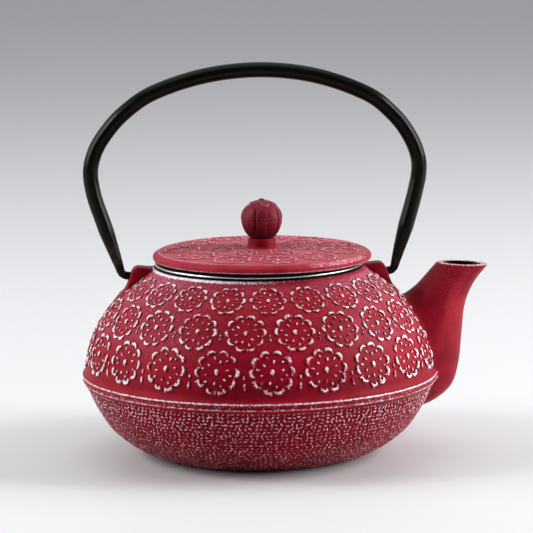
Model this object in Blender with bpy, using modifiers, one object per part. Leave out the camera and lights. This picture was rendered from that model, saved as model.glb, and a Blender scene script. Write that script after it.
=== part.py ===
"""A cast iron teapot: pot, lid with its knob, bail handle and a lift-out infuser basket.

The origin is the centre of the flat base, +Z is up and the spout points along +X. Sizes are in
millimetres, and MM turns them into Blender's metres where a mesh is made.
"""

from math import cos, pi, sin

import bmesh
import bpy
from mathutils import Vector

MM = 0.001
GAP = 0.3  # between pieces that rest on or in each other

# The pot, a single casting with its spout and ears.
BASE_RADIUS = 46.5
FLANGE_RADIUS = 82.4
FLANGE_FILLET = 1.8
FLANGE_TOP = 37.3
FLANGE_BOTTOM = 34.5
WALL = 3.6
MOUTH_RADIUS = 44.6
SEAT_RADIUS = 47.2
SEAT_HEIGHT = 87.7
SEAT_EDGE = (48.7, 87.1)
FLOOR_HEIGHT = 4.0
SPOUT_WALL = 2.9
SHOULDER = ((49.2, 86.2), (53.0, 83.1), (63.4, 75.0), (72.3, 64.2), (78.0, 53.2), (80.6, 42.5))
BOWL = ((79.8, 32.0), (77.2, 25.6), (73.5, 19.0), (69.2, 13.0), (61.0, 6.3), (53.6, 2.3), (49.0, 0.5))

# The spout, as pairs of its inner and outer edge (x, z) and its half width, root to mouth.
SPOUT = (
    ((50.0, 58.0), (66.0, 16.5), 18.0),
    ((60.0, 66.5), (80.0, 20.8), 17.5),
    ((66.0, 71.0), (89.6, 28.4), 16.5),
    ((70.5, 74.0), (93.2, 39.0), 15.0),
    ((74.0, 76.8), (94.7, 53.0), 13.2),
    ((77.0, 80.0), (96.2, 66.5), 11.4),
    ((80.0, 83.4), (100.4, 77.0), 9.8),
    ((83.2, 87.0), (107.1, 85.7), 9.0),
)

DUCT_ROOT = ((54.0, 62.0), (62.0, 34.0), 9.5)  # the same, for the duct inside the belly
DUCT_START = 3  # the first section of the spout that the duct follows
PAST_MOUTH = (0.6, 0.0, 8.0)

# The bail handle, its hooks and the ears that hold them.
HINGE_HEIGHT = 83.4
HOOK_RADIUS = 1.9
HOOK_HOLE_RADIUS = 2.3
HOOK_TIP = 54.0
HOOK_HOLE_END = 53.4
HOOK_HOLE_START = 70.0
BAIL_HALF_THICKNESS = 3.5
BAIL_HALF_WIDTH = 4.3
BAIL_TAPER = (87.0, 110.0)  # heights between which each arm narrows down to its hook
BAIL = (
    (-HOOK_TIP, HINGE_HEIGHT),
    (-60.2, HINGE_HEIGHT),
    (-63.4, 84.5),
    (-64.8, 88.2),
    (-67.6, 96.5),
    (-71.6, 108.2),
    (-75.6, 120.5),
    (-77.2, 131.6),
    (-75.0, 141.2),
    (-69.7, 150.0),
    (-61.2, 159.2),
    (-47.6, 168.2),
    (-24.0, 175.6),
    (2.0, 178.0),
    (27.5, 174.8),
    (50.8, 166.2),
    (62.8, 156.7),
    (69.9, 147.4),
    (74.0, 138.1),
    (74.8, 129.5),
    (72.6, 118.5),
    (69.0, 105.5),
    (65.6, 94.0),
    (63.9, 88.0),
    (62.8, 84.5),
    (60.2, HINGE_HEIGHT),
    (HOOK_TIP, HINGE_HEIGHT),
)
EAR = (
    (47.0, 84.0),
    (48.0, 86.6),
    (55.6, 87.9),
    (57.4, 87.5),
    (60.2, 82.4),
    (62.0, 77.5),
    (64.0, 73.5),
    (56.0, 76.0),
)
EAR_HALF_WIDTH = 4.6
EAR_EDGE = 0.9

# The lid rests towards the spout, at one end of its side play.
LID_SHIFT = 1.6
LID_RADIUS = 50.6
LID_BOTTOM = 89.7
LID_CREASE_RADIUS = 48.0
LID_CREASE_HEIGHT = 94.2
LID_CENTRE_HEIGHT = 95.6
LID_EDGE = ((49.6, 93.9), (LID_RADIUS, 92.6), (50.5, 91.2), (49.8, 90.2), (46.0, LID_BOTTOM))
LID_THICKNESS = 3.0
LID_RING_RADIUS = 39.9
LID_RING_DEPTH = 5.2
LID_HOLLOW = 1.4  # how far the lid's underside rises within its ring
COLLAR_RADIUS = 6.5
COLLAR_TOP = 99.9
COLLAR_EDGE = 0.5
SCREW_RADIUS = 2.0
SCREW_HOLE_RADIUS = 2.3
SCREW_END_GAP = 1.0  # between the screw's tip and the end of its bore
SCREW_TIP = ((0.0, 0.0), (1.5, 0.0), (SCREW_RADIUS, -0.6))  # heights from the tip down
SCREW_HEAD = ((4.0, 0.0), (3.8, -1.2), (2.6, -2.1), (0.0, -2.4))  # heights from the washer down
WASHER_RADIUS = 5.5
WASHER_THICKNESS = 0.8

KNOB_RADIUS = 9.5
KNOB_BOTTOM = COLLAR_TOP + GAP
KNOB_TOP = 118.0
KNOB_BORE_DEPTH = 9.0
# The knob's side from its tip to its foot, in shares of its radius and height.
KNOB_SIDE = (
    (0.0, 1.0),
    (0.35, 0.94),
    (0.73, 0.81),
    (0.93, 0.67),
    (1.0, 0.50),
    (0.93, 0.33),
    (0.76, 0.14),
    (0.50, 0.0),
)

# The infuser basket: a rim that rests on the mouth, a mesh wall and a mesh base in a ring.
RIM_RADIUS = 48.4
RIM_BOTTOM = SEAT_HEIGHT + GAP
RIM_THICKNESS = 1.4
RIM_EDGE = 0.5
RIM_INNER_RADIUS = 42.0
BASKET_RADIUS = 42.8
MESH_THICKNESS = 0.5
SLEEVE_THICKNESS = 0.6
BASKET_BOTTOM = 39.0
SLEEVE_HEIGHT = 5.0
SHELF_WIDTH = 5.1
WALL_FOOT_GAP = 1.0
MESH_DISC_BOTTOM = BASKET_BOTTOM + SLEEVE_THICKNESS + GAP

ROUND_STEPS = 48
SMALL_STEPS = 24

parts = bpy.data.collections.new("cast_iron_teapot")
cutters = bpy.data.collections.new("cutters")


def clear_scene():
    for obj in list(bpy.data.objects):
        bpy.data.objects.remove(obj, do_unlink=True)
    bpy.context.scene.collection.children.link(parts)
    bpy.context.scene.collection.children.link(cutters)


def principled(name, colour, roughness, metallic):
    material = bpy.data.materials.new(name)
    material.use_nodes = True
    shader = material.node_tree.nodes["Principled BSDF"]
    shader.inputs["Base Color"].default_value = (*colour, 1.0)
    shader.inputs["Roughness"].default_value = roughness
    shader.inputs["Metallic"].default_value = metallic
    return material


def curve_through(points, steps):
    """A smooth line through the points, a Catmull-Rom curve with some steps to each stretch."""
    found = []
    last = len(points) - 1
    for i in range(last):
        a, b, c, d = (Vector(points[min(max(k, 0), last)]) for k in (i - 1, i, i + 1, i + 2))
        for step in range(steps):
            t = step / steps
            bend = (2 * a - 5 * b + 4 * c - d) * t * t + (3 * b - a - 3 * c + d) * t * t * t
            found.append(b + ((c - a) * t + bend) / 2)
    return [*found, Vector(points[last])]


def inset(line, distance):
    """The line moved to its inner side, for an outline that runs down its outer side."""
    moved = []
    for i, point in enumerate(line):
        along = line[min(i + 1, len(line) - 1)] - line[max(i - 1, 0)]
        moved.append(point + Vector((along.y, -along.x)).normalized() * distance)
    return moved


def add(name, mesh, material, collection=parts):
    obj = bpy.data.objects.new(name, mesh)
    collection.objects.link(obj)
    if collection is cutters:
        obj.hide_render = True
        obj.display_type = "WIRE"
    else:
        mesh.materials.append(material)
    return obj


def turned(name, outline, material=None, closed=False, steps=ROUND_STEPS, collection=parts):
    """Turns an outline of (radius, height) points, top to bottom on its outer side, about Z."""
    mesh = bpy.data.meshes.new(name)
    count = len(outline)
    edges = [(i, (i + 1) % count) for i in range(count if closed else count - 1)]
    mesh.from_pydata([(r * MM, 0, z * MM) for r, z in outline], edges, [])
    obj = add(name, mesh, material, collection)
    screw = obj.modifiers.new("turn", "SCREW")
    screw.steps = steps
    screw.render_steps = steps
    screw.use_merge_vertices = True
    screw.merge_threshold = 0.00001
    screw.use_smooth_shade = True
    return obj


def loft(name, rings, material=None, collection=parts):
    """A solid skin over rings of equally many points, capped at both ends."""
    shape = bmesh.new()
    loops = [[shape.verts.new(point * MM) for point in ring] for ring in rings]
    count = len(rings[0])
    for low, high in zip(loops, loops[1:]):
        for i in range(count):
            j = (i + 1) % count
            shape.faces.new((low[i], low[j], high[j], high[i]))
    shape.faces.new(loops[0])
    shape.faces.new(loops[-1])
    bmesh.ops.recalc_face_normals(shape, faces=shape.faces)
    mesh = bpy.data.meshes.new(name)
    shape.to_mesh(mesh)
    shape.free()
    mesh.shade_smooth()
    mesh.set_sharp_from_angle(angle=pi / 5)
    return add(name, mesh, material, collection)


def combine(obj, other, operation):
    boolean = obj.modifiers.new(other.name, "BOOLEAN")
    boolean.operation = operation
    boolean.object = other


def oval_between(inner, outer, half_width, points):
    """A ring about the XZ plane that reaches from the inner edge to the outer one."""
    inner, outer = Vector(inner), Vector(outer)
    middle, half = (inner + outer) / 2, (outer - inner) / 2
    ring = []
    for i in range(points):
        angle = 2 * pi * i / points
        flat = middle + half * cos(angle)
        ring.append(Vector((flat.x, half_width * sin(angle), flat.y)))
    return ring


def spout_solid():
    edges = [curve_through([section[k] for section in SPOUT], 2) for k in (0, 1)]
    widths = [w.x for w in curve_through([(section[2], 0) for section in SPOUT], 2)]
    rings = [oval_between(*section, 20) for section in zip(*edges, widths)]
    return loft("spout_solid", rings, collection=cutters)


def spout_bore():
    """The duct, which starts inside the belly and leaves through the mouth."""
    rings = [oval_between(*DUCT_ROOT, 12)]
    for inner, outer, half_width in SPOUT[DUCT_START:]:
        across = (Vector(outer) - Vector(inner)).normalized() * SPOUT_WALL
        start, end = Vector(inner) + across, Vector(outer) - across
        rings.append(oval_between(start, end, half_width - SPOUT_WALL, 12))
    rings.append([point + Vector(PAST_MOUTH) for point in rings[-1]])
    return loft("spout_bore", rings, collection=cutters)


def ear_solid(side):
    """A wedge on the shoulder, with its edges eased."""
    centre = sum((Vector(point) for point in EAR), Vector((0, 0))) / len(EAR)
    rings = []
    flat = EAR_HALF_WIDTH - EAR_EDGE
    for y, ease in ((-EAR_HALF_WIDTH, EAR_EDGE), (-flat, 0), (flat, 0), (EAR_HALF_WIDTH, EAR_EDGE)):
        ring = [Vector(point) + (centre - Vector(point)).normalized() * ease for point in EAR]
        rings.append([Vector((side * point.x, y, point.y)) for point in ring])
    return loft(f"ear_solid_{'spout' if side > 0 else 'back'}", rings, collection=cutters)


def round_bar(name, start, end, radius, height, points=16):
    """A round bar along X between two places, at a height over the base."""
    rings = []
    for x in (start, end):
        angles = [2 * pi * i / points for i in range(points)]
        rings.append([Vector((x, radius * cos(a), height + radius * sin(a))) for a in angles])
    return loft(name, rings, collection=cutters)


def pot_body(material):
    shoulder = curve_through(SHOULDER, 2)
    bowl = curve_through(BOWL, 1)
    fillet_top = (FLANGE_RADIUS - FLANGE_FILLET, FLANGE_TOP + FLANGE_FILLET)
    fillet_bottom = (FLANGE_RADIUS - FLANGE_FILLET, FLANGE_BOTTOM - FLANGE_FILLET / 2)
    flange = [fillet_top, (FLANGE_RADIUS, FLANGE_TOP), (FLANGE_RADIUS, FLANGE_BOTTOM), fillet_bottom]
    mouth = [(0, SEAT_HEIGHT), (SEAT_RADIUS, SEAT_HEIGHT), SEAT_EDGE]
    outline = [*mouth, *shoulder, *flange, *bowl, (BASE_RADIUS, 0), (0, 0)]
    pot = turned("pot_body", outline, material)
    combine(pot, spout_solid(), "UNION")
    for side in (-1, 1):
        combine(pot, ear_solid(side), "UNION")
    inner = inset(curve_through([*SHOULDER, *BOWL], 1), WALL)
    inner = [point for point in inner if point.x > MOUTH_RADIUS and point.y > FLOOR_HEIGHT + 1]
    above_mouth = SEAT_HEIGHT + RIM_THICKNESS
    neck = [(0, above_mouth), (MOUTH_RADIUS, above_mouth), (MOUTH_RADIUS, SHOULDER[0][1] - WALL)]
    hollow = [*neck, *inner, (BASE_RADIUS, FLOOR_HEIGHT), (0, FLOOR_HEIGHT)]
    combine(pot, turned("belly_hollow", hollow, collection=cutters), "DIFFERENCE")
    combine(pot, spout_bore(), "DIFFERENCE")
    for side, name in ((-1, "back"), (1, "spout")):
        ends = (side * HOOK_HOLE_END, side * HOOK_HOLE_START)
        hole = round_bar(f"hook_hole_{name}", *ends, HOOK_HOLE_RADIUS, HINGE_HEIGHT)
        combine(pot, hole, "DIFFERENCE")
    return pot


def bail_handle(material):
    """One bar: a broad oval over the arch, narrowing down each arm to a round hook."""
    line = curve_through(BAIL, 2)
    rings = []
    for i, point in enumerate(line):
        along = (line[min(i + 1, len(line) - 1)] - line[max(i - 1, 0)]).normalized()
        grown = min(max((point.y - BAIL_TAPER[0]) / (BAIL_TAPER[1] - BAIL_TAPER[0]), 0), 1)
        thick = HOOK_RADIUS + (BAIL_HALF_THICKNESS - HOOK_RADIUS) * grown
        wide = HOOK_RADIUS + (BAIL_HALF_WIDTH - HOOK_RADIUS) * grown
        across = Vector((along.y, -along.x)) * thick
        rings.append(oval_between(point - across, point + across, wide, 12))
    return loft("handle", rings, material)


def lid(material):
    """A shallow disc with a rolled edge, a collar for the knob and a locating ring below."""
    dome = LID_CENTRE_HEIGHT - LID_CREASE_HEIGHT
    radii = (COLLAR_RADIUS + 1, 18.0, 32.0, LID_CREASE_RADIUS)
    top = [(r, LID_CENTRE_HEIGHT - dome * (r / LID_CREASE_RADIUS) ** 2) for r in radii]
    eased = [(COLLAR_RADIUS - COLLAR_EDGE, COLLAR_TOP), (COLLAR_RADIUS, COLLAR_TOP - COLLAR_EDGE)]
    collar = [(SCREW_HOLE_RADIUS, COLLAR_TOP), *eased, (COLLAR_RADIUS, LID_CENTRE_HEIGHT)]
    foot = LID_BOTTOM - LID_RING_DEPTH
    inner = LID_RING_RADIUS - LID_THICKNESS
    ring = [(LID_RING_RADIUS, LID_BOTTOM), (LID_RING_RADIUS, foot), (inner, foot)]
    under = [(inner, LID_BOTTOM + LID_HOLLOW), (SCREW_HOLE_RADIUS, LID_CENTRE_HEIGHT - LID_THICKNESS)]
    return turned("lid", [*collar, *top, *LID_EDGE, *ring, *under], material, closed=True)


def lid_knob(material):
    """A bud-shaped knob, drawn in at its foot, with a blind bore for the screw."""
    height = KNOB_TOP - KNOB_BOTTOM
    outline = [(KNOB_RADIUS * r, KNOB_BOTTOM + height * z) for r, z in KNOB_SIDE]
    bore = [(SCREW_HOLE_RADIUS, KNOB_BOTTOM), (SCREW_HOLE_RADIUS, KNOB_BOTTOM + KNOB_BORE_DEPTH)]
    top_of_bore = (0, KNOB_BOTTOM + KNOB_BORE_DEPTH)
    return turned("lid_knob", [*outline, *bore, top_of_bore], material, steps=SMALL_STEPS)


def knob_washer(material):
    top = LID_CENTRE_HEIGHT - LID_THICKNESS - GAP
    bottom = top - WASHER_THICKNESS
    outer = [(WASHER_RADIUS, top), (WASHER_RADIUS, bottom)]
    outline = [(SCREW_HOLE_RADIUS, top), *outer, (SCREW_HOLE_RADIUS, bottom)]
    return turned("knob_washer", outline, material, closed=True, steps=SMALL_STEPS)


def knob_screw(material):
    """A pan-head screw up through the washer and the lid into the knob."""
    head_top = LID_CENTRE_HEIGHT - LID_THICKNESS - 2 * GAP - WASHER_THICKNESS
    tip = KNOB_BOTTOM + KNOB_BORE_DEPTH - SCREW_END_GAP
    shank = [(r, tip + z) for r, z in SCREW_TIP] + [(SCREW_RADIUS, head_top)]
    head = [(r, head_top + z) for r, z in SCREW_HEAD]
    return turned("knob_screw", [*shank, *head], material, steps=SMALL_STEPS)


def infuser_rim(material):
    """A rolled flange with a sleeve below it that grips the mesh wall."""
    top = RIM_BOTTOM + RIM_THICKNESS
    foot = RIM_BOTTOM - SLEEVE_HEIGHT
    sleeve_inner = BASKET_RADIUS + GAP
    sleeve_outer = sleeve_inner + SLEEVE_THICKNESS
    eased = RIM_RADIUS - RIM_EDGE
    flange = [(RIM_INNER_RADIUS, top), (eased, top), (RIM_RADIUS, top - RIM_EDGE)]
    underside = [(RIM_RADIUS, RIM_BOTTOM + RIM_EDGE), (eased, RIM_BOTTOM), (sleeve_outer, RIM_BOTTOM)]
    sleeve = [(sleeve_outer, foot), (sleeve_inner, foot), (sleeve_inner, RIM_BOTTOM)]
    outline = [*flange, *underside, *sleeve, (RIM_INNER_RADIUS, RIM_BOTTOM)]
    return turned("infuser_rim", outline, material, closed=True)


def infuser_wall(material):
    """The mesh tube, as a thin plain wall: its weave is too fine for a solid."""
    top, bottom = RIM_BOTTOM - GAP, MESH_DISC_BOTTOM + MESH_THICKNESS + WALL_FOOT_GAP
    inner = BASKET_RADIUS - MESH_THICKNESS
    outline = [(BASKET_RADIUS, top), (BASKET_RADIUS, bottom), (inner, bottom), (inner, top)]
    return turned("infuser_wall", outline, material, closed=True)


def infuser_base_ring(material):
    inner = BASKET_RADIUS + GAP
    outer = inner + SLEEVE_THICKNESS
    shelf = BASKET_BOTTOM + SLEEVE_THICKNESS
    top = BASKET_BOTTOM + SLEEVE_HEIGHT
    shelf_edge = inner - SHELF_WIDTH
    under = [(outer, top), (outer, BASKET_BOTTOM), (shelf_edge, BASKET_BOTTOM)]
    outline = [*under, (shelf_edge, shelf), (inner, shelf), (inner, top)]
    return turned("infuser_base_ring", outline, material, closed=True)


def infuser_base_mesh(material):
    """The mesh disc that lies on the ring's shelf, under the wall's lower edge."""
    top = MESH_DISC_BOTTOM + MESH_THICKNESS
    outline = [(0, top), (BASKET_RADIUS, top), (BASKET_RADIUS, MESH_DISC_BOTTOM), (0, MESH_DISC_BOTTOM)]
    return turned("infuser_base_mesh", outline, material)


def pivot(name, height, moved, parent=None):
    """An empty on a joint's axis that carries the pieces that move with it."""
    empty = bpy.data.objects.new(name, None)
    parts.objects.link(empty)
    base = parent["height"] if parent else 0.0
    empty["height"] = height
    empty.location = (0, 0, (height - base) * MM)
    empty.parent = parent
    for obj in moved:
        obj.parent = empty
        obj.location.z -= height * MM
    return empty


def build():
    clear_scene()
    red = principled("red_enamel_on_iron", (0.33, 0.012, 0.035), 0.55, 0.0)
    burgundy = principled("burgundy_enamel_on_iron", (0.17, 0.008, 0.022), 0.5, 0.0)
    black = principled("black_lacquered_steel", (0.012, 0.012, 0.013), 0.4, 0.0)
    steel = principled("stainless_steel", (0.62, 0.62, 0.60), 0.3, 1.0)
    mesh_steel = principled("stainless_mesh", (0.45, 0.45, 0.44), 0.4, 1.0)
    zinc = principled("zinc_plated_steel", (0.55, 0.56, 0.57), 0.35, 1.0)
    pot_body(red)
    handle = bail_handle(black)
    basket = [infuser_rim(steel), infuser_base_ring(steel)]
    basket += [infuser_wall(mesh_steel), infuser_base_mesh(mesh_steel)]
    lid_group = [lid(red), lid_knob(burgundy), knob_washer(zinc), knob_screw(zinc)]
    for obj in lid_group:
        obj.location.x = LID_SHIFT * MM
    pivot("handle_fold_axis", HINGE_HEIGHT, [handle])
    basket_axis = pivot("basket_lift_axis", RIM_BOTTOM, basket)
    pivot("lid_lift_axis", LID_BOTTOM, lid_group, basket_axis)


build()
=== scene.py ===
"""The looks of a cast iron teapot: its casting with raised flowers and grain, lid, knob, bail and basket.

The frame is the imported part: origin at the centre of the flat base, +Z up, the spout along +X.
Sizes here are in millimetres, and MM turns them into Blender's metres where a mesh is made.
"""

from math import cos, hypot, pi, radians, sin

import bmesh
import bpy
import numpy as np
from mathutils import Matrix, Vector
from mathutils.bvhtree import BVHTree

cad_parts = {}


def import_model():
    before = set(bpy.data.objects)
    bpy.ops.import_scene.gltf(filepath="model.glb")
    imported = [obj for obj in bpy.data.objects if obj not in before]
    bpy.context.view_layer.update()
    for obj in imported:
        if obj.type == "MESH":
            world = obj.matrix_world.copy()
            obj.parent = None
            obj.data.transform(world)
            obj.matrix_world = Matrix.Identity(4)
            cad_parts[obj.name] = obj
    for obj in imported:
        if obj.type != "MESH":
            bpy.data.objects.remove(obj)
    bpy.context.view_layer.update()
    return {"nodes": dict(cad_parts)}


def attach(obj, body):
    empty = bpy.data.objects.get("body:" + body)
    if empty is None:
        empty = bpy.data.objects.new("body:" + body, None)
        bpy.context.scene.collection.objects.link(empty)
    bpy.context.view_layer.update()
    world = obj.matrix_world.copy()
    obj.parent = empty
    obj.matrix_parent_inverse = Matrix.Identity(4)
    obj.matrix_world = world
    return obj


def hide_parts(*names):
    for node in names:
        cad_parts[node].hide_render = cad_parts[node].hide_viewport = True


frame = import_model()

MM = 0.001
rng = np.random.default_rng(7)

# ---------------- driving dimensions
# They follow the part. Its lip, flange, ears, lid edge and knob are drawn a little finer here.
# Outlines turned about Z are points of (radius, height), and others are points of (x, height).

FLOOR_HEIGHT = 4.0
WALL = 3.6
MOUTH_RADIUS = 44.6
LIP = ((44.6, 87.7), (46.6, 87.7), (47.6, 87.6), (48.4, 87.2), (48.9, 86.8), (49.2, 86.2))
SHOULDER = ((49.2, 86.2), (53.0, 83.1), (63.4, 75.0), (72.3, 64.2), (78.0, 53.2), (80.6, 42.5))
FLANGE = (
    *((80.6, 42.5), (80.8, 40.6), (81.25, 39.2), (81.9, 38.25), (82.4, 37.85), (82.6, 37.3), (82.35, 36.75)),
    *((81.95, 36.4), (81.75, 35.9), (81.9, 35.4), (82.2, 35.1), (82.3, 34.7), (82.1, 34.3), (81.6, 33.9)),
    *((80.7, 33.0), (79.8, 32.0)),
)
UPPER_BEAD = 37.3
BEAD_GROOVE = 35.9
LOWER_BEAD = 34.7
BOWL = ((79.8, 32.0), (77.2, 25.6), (73.5, 19.0), (69.2, 13.0), (61.0, 6.3), (53.6, 2.3), (49.0, 0.5))
BASE_EDGE = ((49.0, 0.5), (48.0, 0.15), (46.5, 0.0))
SPOUT = (  # inner edge, outer edge, half width
    ((50.0, 58.0), (66.0, 16.5), 18.0),
    ((60.0, 66.5), (80.0, 20.8), 17.5),
    ((66.0, 71.0), (89.6, 28.4), 16.5),
    ((70.5, 74.0), (93.2, 39.0), 15.0),
    ((74.0, 76.8), (94.7, 53.0), 13.2),
    ((77.0, 80.0), (96.2, 66.5), 11.4),
    ((80.0, 83.4), (100.4, 77.0), 9.8),
    ((83.2, 87.0), (107.1, 85.7), 9.0),
)
SPOUT_WALL = 2.9
SPOUT_FILLET = 2.2
DUCT_ROOT = ((54.0, 62.0), (62.0, 34.0), 9.5)
DUCT_START = 3
PAST_MOUTH = (0.6, 0.0, 8.0)
HINGE_HEIGHT = 83.4
HOOK_RADIUS = 1.9
HOOK_HOLE_RADIUS = 2.3
HOOK_HOLE = (53.4, 70.0)  # from this x to that
HOOK_TIP = 54.0
BAIL_HALF_THICKNESS = 3.5
BAIL_HALF_WIDTH = 4.3
BAIL = (
    *((-HOOK_TIP, HINGE_HEIGHT), (-60.2, HINGE_HEIGHT), (-63.4, 84.5), (-64.8, 88.2), (-67.6, 96.5)),
    *((-71.6, 108.2), (-75.6, 120.5), (-77.2, 131.6), (-75.0, 141.2), (-69.7, 150.0), (-61.2, 159.2)),
    *((-47.6, 168.2), (-24.0, 175.6), (2.0, 178.0), (27.5, 174.8), (50.8, 166.2), (62.8, 156.7)),
    *((69.9, 147.4), (74.0, 138.1), (74.8, 129.5), (72.6, 118.5), (69.0, 105.5), (65.6, 94.0)),
    *((63.9, 88.0), (62.8, 84.5), (60.2, HINGE_HEIGHT), (HOOK_TIP, HINGE_HEIGHT)),
)
EAR = (
    *((47.0, 84.0), (48.0, 86.6), (55.2, 87.8), (57.6, 87.3), (59.0, 85.6), (60.2, 82.4)),
    *((62.0, 77.5), (64.0, 73.5), (56.0, 76.0)),
)
EAR_HALF_WIDTH = 4.6
EAR_FILLET = 2.4
LID_AXIS = np.array([1.6, 0.0, 0.0])
LID_CENTRE_HEIGHT = 95.6
LID_CREASE_RADIUS = 48.0
LID_CREASE_HEIGHT = 94.2
LID_SIDE = ((48.5, 94.0), (49.5, 93.5), (50.35, 92.8), (50.65, 92.0), (50.6, 91.1), (50.2, 90.5))
LID_BOTTOM = 89.7
LID_THICKNESS = 3.0
LID_RING_RADIUS = 39.9
LID_RING_DEPTH = 5.2
LID_HOLLOW = 1.4
COLLAR_RADIUS = 6.5
COLLAR_TOP = 99.9
SCREW_HOLE_RADIUS = 2.3
KNOB_RADIUS = 9.5
KNOB_BOTTOM = 100.2
KNOB_TOP = 118.0
KNOB_SIDE = (  # shares of the knob's height and radius, foot to tip
    *((0.0, 0.58), (0.067, 0.70), (0.144, 0.81), (0.24, 0.905), (0.335, 0.97), (0.43, 1.01), (0.526, 1.025)),
    *((0.62, 1.0), (0.718, 0.92), (0.81, 0.775), (0.88, 0.585), (0.925, 0.37), (0.95, 0.16), (0.957, 0.02)),
)
RIM_RADIUS = 48.4
RIM_BOTTOM = 88.0
RIM_THICKNESS = 1.4
RIM_INNER_RADIUS = 42.0
BASKET_RADIUS = 42.8
BASKET_BOTTOM = 39.0
SLEEVE_THICKNESS = 0.6
SLEEVE_HEIGHT = 5.0
GAP = 0.3

# Rows of flowers on the shoulder: distance down it, flower radius, relief height, first turn, blotting
FLOWER_ROWS = ((11.0, 8.1, 0.8, 0.0, 0.3), (28.4, 9.3, 0.9, 9.0, 0.4), (46.7, 10.2, 1.0, 0.0, 1.0))
FLOWERS_IN_ROW = 20
# Dashes between the flowers of each row: distance below their middles, length, width
DASHES = ((), ((1.5, 1.6, 0.8), (3.6, 2.0, 0.8)), ((2.4, 2.4, 1.3), (6.4, 3.8, 1.9)))

# Rings of flowers on the lid: number, first turn, distance out, flower radius, height, petals, thickness
LID_FLOWER_RINGS = (
    (11, radians(179.0), 37.0, 9.0, 0.5, 10, 0.62),
    (7, radians(-65.0), 19.3, 6.0, 0.42, 8, 0.7),
)


# ---------------- lines, grids and meshes


def curve_through(points, steps):
    """A Catmull-Rom line through the points, with some steps to each stretch."""
    points = np.array(points, float)
    last = len(points) - 1
    found = []
    for i in range(last):
        a, b, c, d = (points[min(max(k, 0), last)] for k in (i - 1, i, i + 1, i + 2))
        for step in range(steps):
            t = step / steps
            bend = (2 * a - 5 * b + 4 * c - d) * t * t + (3 * b - a - 3 * c + d) * t**3
            found.append(b + ((c - a) * t + bend) / 2)
    return np.array([*found, points[last]])


def lengths_along(line):
    return np.concatenate([[0], np.cumsum(np.linalg.norm(np.diff(line, axis=0), axis=1))])


def evenly(line, spacing):
    """The line with points about a spacing apart, and each point's distance along it."""
    lengths = lengths_along(line)
    count = max(int(round(lengths[-1] / spacing)), 1) + 1
    places = np.linspace(0, lengths[-1], count)
    return np.array([np.interp(places, lengths, column) for column in line.T]).T, places


def smooth(points, steps, spacing):
    return evenly(curve_through(points, steps), spacing)[0]


def unit(vectors):
    return vectors / np.linalg.norm(vectors, axis=-1, keepdims=True)


def left_of(line):
    """Unit vectors to the left of a flat line's run: outwards, where an outline runs down its side."""
    along = unit(np.gradient(line, axis=0))
    return np.stack([-along[:, 1], along[:, 0]], -1)


def bump(x, centre, width):
    """A smooth hill of height 1 at the centre."""
    return np.exp(-(((np.asarray(x) - centre) / width) ** 2))


def ramp(x, low, high):
    """Rises smoothly from 0 at low to 1 at high."""
    t = np.clip((np.asarray(x) - low) / (high - low), 0, 1)
    return t * t * (3 - 2 * t)


def within(x, low, high):
    return (x > low) & (x < high)


def polar(reach, angle):
    return np.array([reach * cos(angle), reach * sin(angle)])


def turns(count):
    """Evenly spaced angles once round."""
    return np.arange(count) * 2 * pi / count


def turned(r, turn, z):
    """Points at a radius, a turn about Z and a height."""
    return np.stack(np.broadcast_arrays(r * np.cos(turn), r * np.sin(turn), z), -1)


def grid_faces(rows, columns):
    """Quads over a grid of points, row by row, closed round its columns."""
    i, j = np.meshgrid(np.arange(rows - 1), np.arange(columns), indexing="ij")
    k = (j + 1) % columns
    quads = [i * columns + j, (i + 1) * columns + j, (i + 1) * columns + k, i * columns + k]
    return np.stack(quads, -1).reshape(-1, 4)


def capped_faces(rows, columns):
    """The faces of such a grid, with one more face over each of its ends."""
    last = (rows - 1) * columns
    ends = [list(range(columns)), list(range(last + columns - 1, last - 1, -1))]
    return grid_faces(rows, columns).tolist() + ends


def copied_faces(faces, number, block):
    """The faces of one block of points, once for each of a number of such blocks."""
    return (np.array(faces)[None] + (np.arange(number) * block)[:, None, None]).reshape(-1, 4)


def add_object(name, data):
    obj = bpy.data.objects.new(name, data)
    bpy.context.scene.collection.objects.link(obj)
    return obj


def make(name, points, faces, materials, marks=None, sharp=pi / 4):
    """A mesh object from points in millimetres, with named values on its points."""
    mesh = bpy.data.meshes.new(name)
    mesh.from_pydata((np.asarray(points) * MM).tolist(), [], [list(map(int, face)) for face in faces])
    mesh.validate()
    for material in materials:
        mesh.materials.append(material)
    mesh.shade_smooth()
    if sharp:
        mesh.set_sharp_from_angle(angle=sharp)
    for key, values in (marks or {}).items():
        attribute = mesh.attributes.new(key, "FLOAT", "POINT")
        attribute.data.foreach_set("value", np.asarray(values, np.float32).ravel())
    return add_object(name, mesh)


def solid(*inputs):
    """A closed mesh object with its faces turned outwards. Its inputs are those of make."""
    obj = make(*inputs)
    shape = bmesh.new()
    shape.from_mesh(obj.data)
    bmesh.ops.recalc_face_normals(shape, faces=shape.faces)
    shape.to_mesh(obj.data)
    shape.free()
    return obj


def vertices(mesh):
    """A mesh's points in millimetres."""
    found = np.zeros(len(mesh.vertices) * 3, np.float32)
    mesh.vertices.foreach_get("co", found)
    return found.reshape(-1, 3).astype(float) / MM


def faces_of(mesh):
    return [tuple(polygon.vertices) for polygon in mesh.polygons]


def move_points(obj, offsets):
    obj.data.vertices.foreach_set("co", ((vertices(obj.data) + offsets) * MM).astype(np.float32).ravel())
    obj.data.update()


def lathe(outline, steps, closed=False):
    """Points and faces of an outline of (radius, height), top to bottom outside, turned about Z."""
    r, z = np.array(outline, float).T[..., None]
    points = turned(r, turns(steps), z).reshape(-1, 3)
    return points, grid_faces(len(outline) + closed, steps) % len(points)


def lathe_solid(outline, steps):
    """A lathe whose outline starts and ends short of the axis, closed with flat caps."""
    return lathe(outline, steps)[0], capped_faces(len(outline), steps)


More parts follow.
